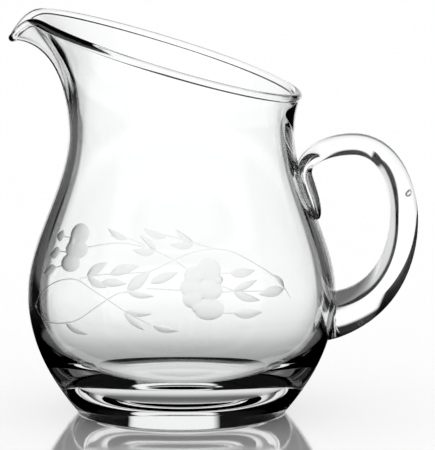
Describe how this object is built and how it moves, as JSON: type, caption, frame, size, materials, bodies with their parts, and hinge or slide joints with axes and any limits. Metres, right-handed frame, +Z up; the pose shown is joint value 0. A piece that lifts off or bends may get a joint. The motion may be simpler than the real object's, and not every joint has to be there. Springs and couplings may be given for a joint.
{
  "type": "cream jug",
  "caption": "Small clear glass cream jug with a heavy flat base, rounded belly, slanted rim drawn out into a pouring lip, a wheel-cut floral spray and an applied loop handle.",
  "frame": {"origin": "centre of the flat underside of the foot", "axes": "+Z up along the axis of the bowl, +X towards the handle, the pouring lip towards -X, +Y away from the decorated side"},
  "size_m": [0.1048, 0.0792, 0.1031],
  "materials": {
    "body_glass": "clear colourless glass, fire polished, with a frosted wheel-cut spray on one side",
    "handle_glass": "clear colourless glass, fire polished"
  },
  "bodies": {
    "root": {"body": "body_glass", "handle": "handle_glass"}
  },
  "joints": []
}
